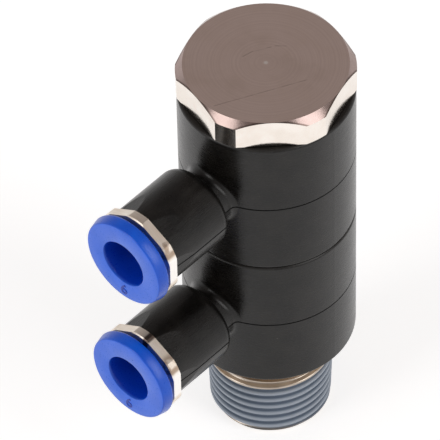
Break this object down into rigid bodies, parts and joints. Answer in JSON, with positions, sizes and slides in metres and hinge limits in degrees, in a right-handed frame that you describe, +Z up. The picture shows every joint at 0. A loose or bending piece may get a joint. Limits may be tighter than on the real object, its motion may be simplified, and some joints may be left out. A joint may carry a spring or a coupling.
{
  "type": "push-in manifold fitting",
  "caption": "Push-in pneumatic manifold: hollow hex-head bolt with a taper pipe thread, carrying stacked swivel bodies that each have a radial tube port.",
  "frame": {"origin": "centre of the lower end of the thread, on the bolt axis", "axes": "+Z up the bolt axis towards the hexagon head; both tube ports point along -Y at rest"},
  "size_m": [0.023, 0.0391, 0.0628],
  "materials": {
    "nickel_plated_brass": "bright nickel plate over machined brass",
    "brass": "machined",
    "black_plastic": "moulded, matt",
    "blue_plastic": "moulded, satin",
    "white_plastic": "moulded",
    "spring_steel": "stamped stainless",
    "seal_rubber": "moulded"
  },
  "bodies": {
    "bolt": {"hollow_bolt": "nickel_plated_brass", "stop_ring": "brass", "shank_seal_1": "seal_rubber", "shank_seal_2": "seal_rubber", "shank_seal_3": "seal_rubber", "shank_seal_4": "seal_rubber"},
    "upper_swivel": {"upper_body": "black_plastic", "upper_collar": "nickel_plated_brass", "upper_grab_ring": "spring_steel", "upper_backing_ring": "white_plastic", "upper_tube_seal": "seal_rubber"},
    "upper_release": {"upper_release_ring": "blue_plastic"},
    "lower_swivel": {"lower_body": "black_plastic", "lower_collar": "nickel_plated_brass", "lower_grab_ring": "spring_steel", "lower_backing_ring": "white_plastic", "lower_tube_seal": "seal_rubber"},
    "lower_release": {"lower_release_ring": "blue_plastic"}
  },
  "joints": [
    {"name": "upper_swivel_turn", "type": "hinge", "parent": "bolt", "child": "upper_swivel", "pos_m": [0, 0, 0.04768], "axis": [0, 0, 1], "continuous": true},
    {"name": "lower_swivel_turn", "type": "hinge", "parent": "bolt", "child": "lower_swivel", "pos_m": [0, 0, 0.02573], "axis": [0, 0, 1], "continuous": true},
    {"name": "upper_release_push", "type": "slide", "parent": "upper_swivel", "child": "upper_release", "axis": [0, 1, 0], "range_m": [0, 0.0007], "stiffness_N_per_m": 2000},
    {"name": "lower_release_push", "type": "slide", "parent": "lower_swivel", "child": "lower_release", "axis": [0, 1, 0], "range_m": [0, 0.0007], "stiffness_N_per_m": 2000}
  ]
}
